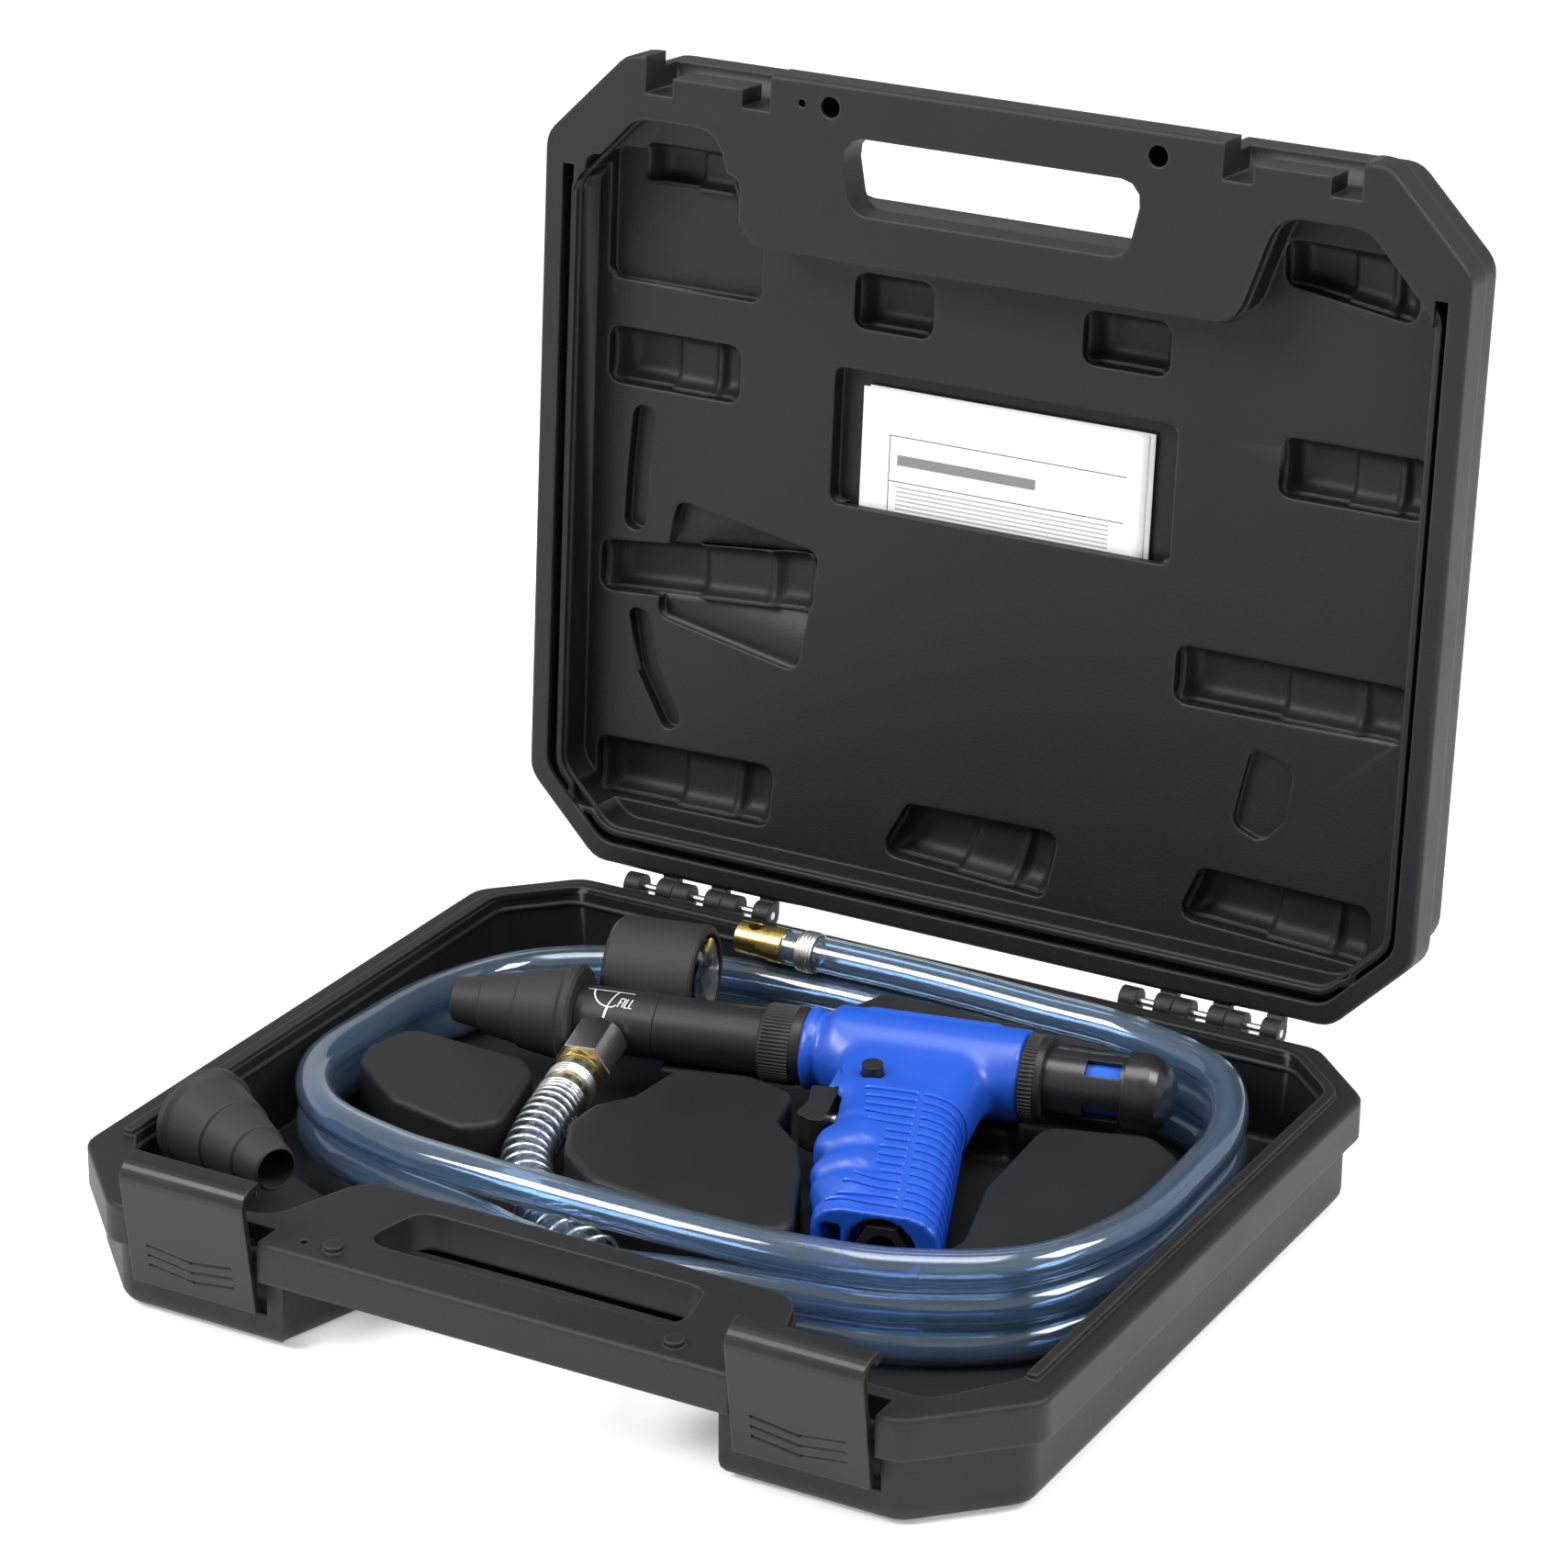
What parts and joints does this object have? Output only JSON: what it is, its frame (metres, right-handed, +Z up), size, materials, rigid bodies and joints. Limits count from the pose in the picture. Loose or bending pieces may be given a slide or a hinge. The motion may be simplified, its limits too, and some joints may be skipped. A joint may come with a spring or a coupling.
{
  "type": "coolant vacuum refill kit",
  "caption": "Hinged black carry case with a blue venturi vacuum gun, gauge, clear fill hose and stepped rubber cones for refilling engine coolant.",
  "frame": {"origin": "centre of the base's underside", "axes": "+Z up, +X along the hinge to the right, latches and handle toward -Y"},
  "size_m": [0.38, 0.4014, 0.3701],
  "materials": {
    "case_black": "grained blow-moulded black",
    "latch_black": "satin dark grey",
    "pin_steel": "bright wire",
    "paper": "white folded sheet",
    "cone_rubber": "matte black",
    "gun_blue": "royal blue satin",
    "gun_black": "satin black",
    "silencer_blue": "porous blue",
    "brass": "turned brass",
    "seal_rubber": "black",
    "steel": "zinc plated",
    "boot_rubber": "matte black boot",
    "gauge_steel": "pressed can",
    "dial_white": "white enamel",
    "needle_black": "black",
    "lens_clear": "clear dome",
    "chrome": "plated hex",
    "plated": "yellowish zinc",
    "band_silver": "ribbed band",
    "hose_clear": "clear, slightly blue"
  },
  "bodies": {
    "base": {"base_shell": "case_black", "hinge_pin_left": "pin_steel", "hinge_pin_right": "pin_steel"},
    "lid": {"lid_shell": "case_black"},
    "latch_left": {"latch_left": "latch_black"},
    "latch_right": {"latch_right": "latch_black"},
    "booklet": {"instruction_booklet": "paper"},
    "spare_cone": {"spare_cone": "cone_rubber"},
    "gun": {"gun_body": "gun_blue", "vacuum_tube": "gun_black", "fill_body": "gun_black", "nose_cone": "cone_rubber", "front_collar": "gun_black", "rear_collar": "gun_black", "silencer_tube": "gun_black", "silencer_element": "silencer_blue", "silencer_cap": "gun_black", "venturi_nozzle": "brass", "tube_seal": "seal_rubber", "nose_seal": "seal_rubber", "valve_seat": "brass", "stem_seal": "seal_rubber", "valve_spring": "steel", "button_spring": "steel", "air_inlet": "gun_black", "inlet_washer": "steel", "gauge_boot": "boot_rubber", "gauge_case": "gauge_steel", "gauge_dial": "dial_white", "gauge_lens": "lens_clear", "gauge_movement": "brass", "bourdon_tube": "brass", "gauge_stem": "brass", "swivel_nut": "chrome", "swivel_tail": "brass", "hose_ferrule": "plated", "crimp_band": "band_silver", "bend_spring": "steel", "hose": "hose_clear", "end_crimp_band": "band_silver", "end_fitting": "brass"},
    "trigger": {"trigger": "gun_black", "valve_stem": "steel"},
    "lock_button": {"lock_button": "gun_black"},
    "gauge_needle": {"gauge_needle": "needle_black"}
  },
  "joints": [
    {"name": "lid_hinge", "type": "hinge", "parent": "base", "child": "lid", "pos_m": [0, 0.168, 0.041], "axis": [1, 0, 0], "range_deg": [0, 94]},
    {"name": "latch_left_pivot", "type": "hinge", "parent": "base", "child": "latch_left", "pos_m": [-0.1195, -0.157, 0.034], "axis": [1, 0, 0], "range_deg": [-8, 12]},
    {"name": "latch_right_pivot", "type": "hinge", "parent": "base", "child": "latch_right", "pos_m": [0.1195, -0.157, 0.034], "axis": [1, 0, 0], "range_deg": [-8, 12]},
    {"name": "booklet_slide", "type": "slide", "parent": "lid", "child": "booklet", "axis": [0, 0.0698, 0.9976], "range_m": [0, 0.0055]},
    {"name": "gun_lift", "type": "slide", "parent": "base", "child": "gun", "axis": [0, 0, 1], "range_m": [0, 0.15]},
    {"name": "spare_cone_lift", "type": "slide", "parent": "base", "child": "spare_cone", "axis": [0, 0, 1], "range_m": [0, 0.12]},
    {"name": "trigger_pull", "type": "slide", "parent": "gun", "child": "trigger", "axis": [0.9781, 0.2079, 0], "range_m": [0, 0.005], "stiffness_N_per_m": 600, "springref_m": -0.003, "deforming": ["valve_spring"]},
    {"name": "lock_button_push", "type": "slide", "parent": "gun", "child": "lock_button", "axis": [-0.0217, 0.1022, -0.9945], "range_m": [0, 0.003], "stiffness_N_per_m": 400, "springref_m": -0.002, "deforming": ["button_spring"]},
    {"name": "gauge_needle_turn", "type": "hinge", "parent": "gun", "child": "gauge_needle", "pos_m": [-0.08691, 0.10016, 0.03982], "axis": [0.9781, 0.2079, 0], "range_deg": [0, 270], "stiffness_Nm_per_rad": 0.002, "springref_deg": -11.46}
  ]
}
